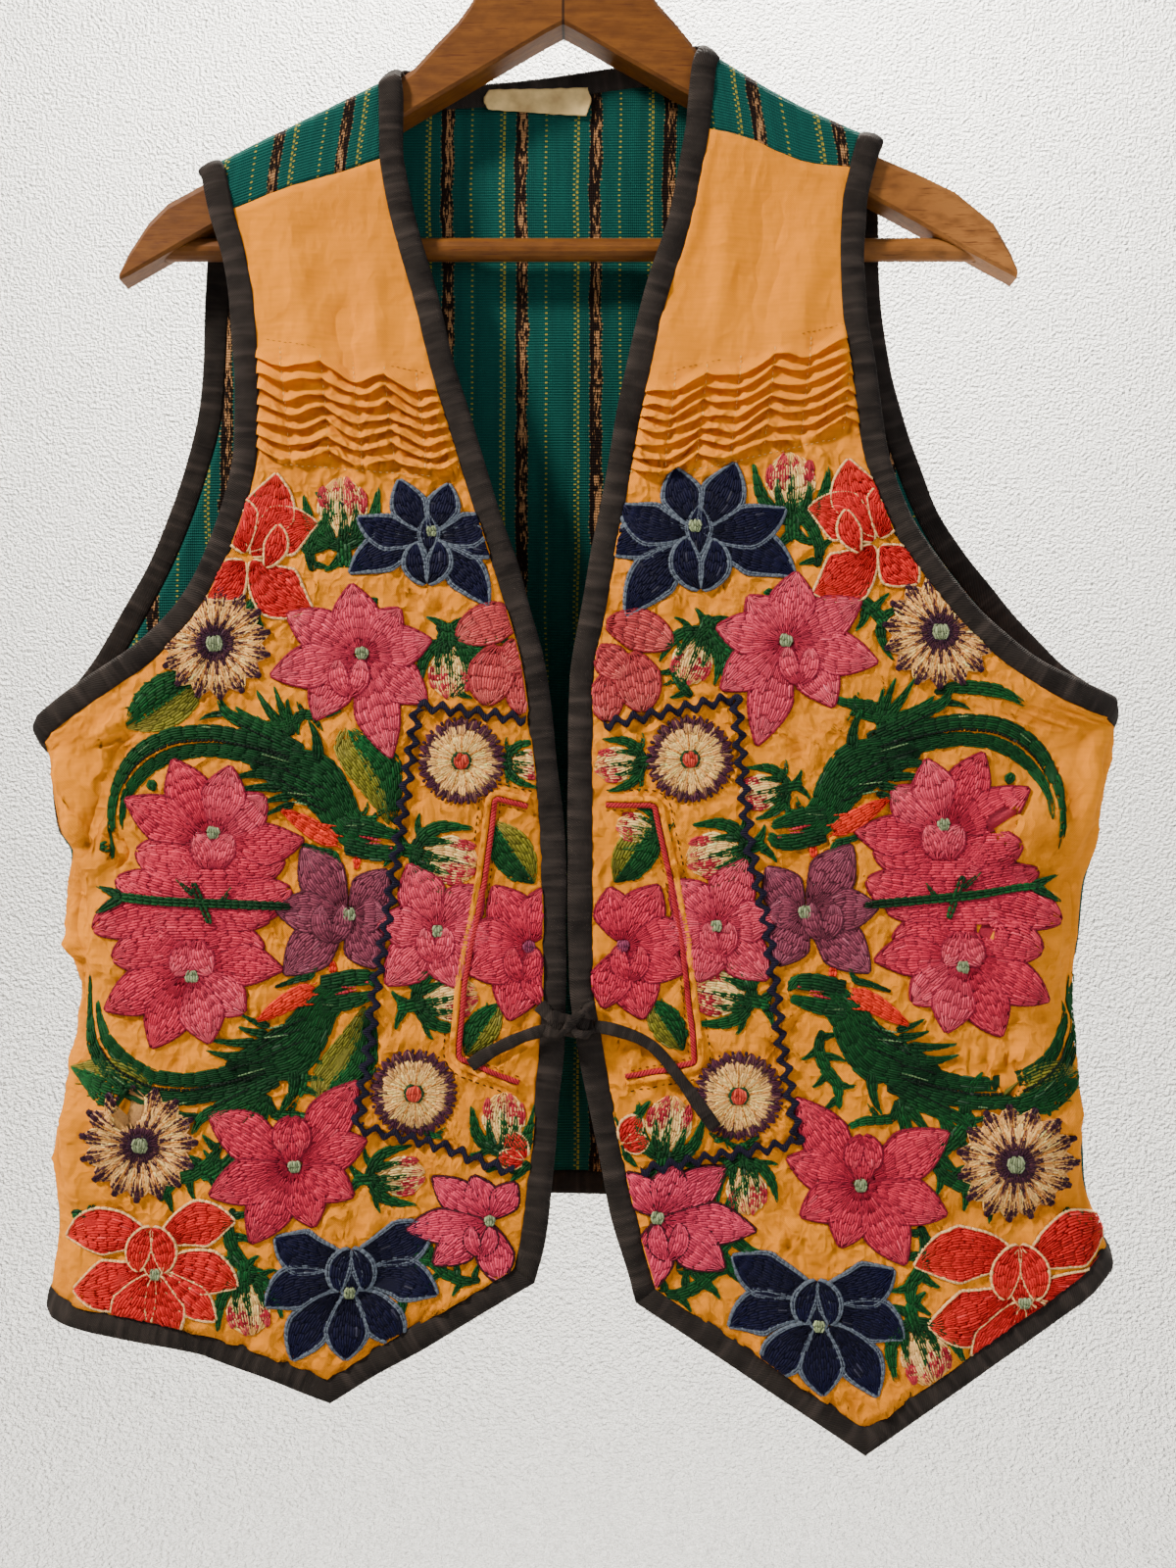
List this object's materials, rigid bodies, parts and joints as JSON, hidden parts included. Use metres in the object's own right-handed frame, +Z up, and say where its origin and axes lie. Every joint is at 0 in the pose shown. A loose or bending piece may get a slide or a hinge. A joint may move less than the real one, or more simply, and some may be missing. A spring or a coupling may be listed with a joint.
{
  "type": "embroidered waistcoat on a wooden coat hanger",
  "caption": "Open-fronted waistcoat with pointed hems, waved pintucks and tie fastening, hanging on a flat wooden coat hanger with a trouser bar and a wire hook.",
  "frame": {"origin": "the inside top of the hanger's hook, where it bears on a rail or peg", "axes": "+Z up, +X to the viewer's right facing the fronts, the fronts towards -Y and the back towards +Y"},
  "size_m": [0.5167, 0.0605, 0.802],
  "materials": {
    "gold_cotton": "matt plain-weave cotton, thickly embroidered",
    "green_ikat": "matt handwoven cotton with fine weft ribs and ikat stripes",
    "charcoal_bias": "matt bias tape with a fine twill",
    "navy_braid": "slightly silky woven wavy braid",
    "rose_piping": "silky couched cords in red and gold",
    "cream_label": "matt woven tape",
    "hanger_wood": "satin varnish over close-grained brown wood",
    "hook_steel": "plain drawn wire"
  },
  "bodies": {
    "root": {"back": "green_ikat", "front_left": "gold_cotton", "front_right": "gold_cotton", "yoke_left": "green_ikat", "yoke_right": "green_ikat", "binding_neck": "charcoal_bias", "binding_armhole_left": "charcoal_bias", "binding_armhole_right": "charcoal_bias", "binding_hem_left": "charcoal_bias", "binding_hem_right": "charcoal_bias", "binding_hem_back": "charcoal_bias", "rickrack_left": "navy_braid", "rickrack_right": "navy_braid", "piping_left": "rose_piping", "piping_right": "rose_piping", "tie_left": "charcoal_bias", "tie_right": "charcoal_bias", "tie_knot": "charcoal_bias", "label": "cream_label", "hanger_arms": "hanger_wood", "hanger_bar": "hanger_wood", "hanger_hook": "hook_steel"}
  },
  "joints": []
}
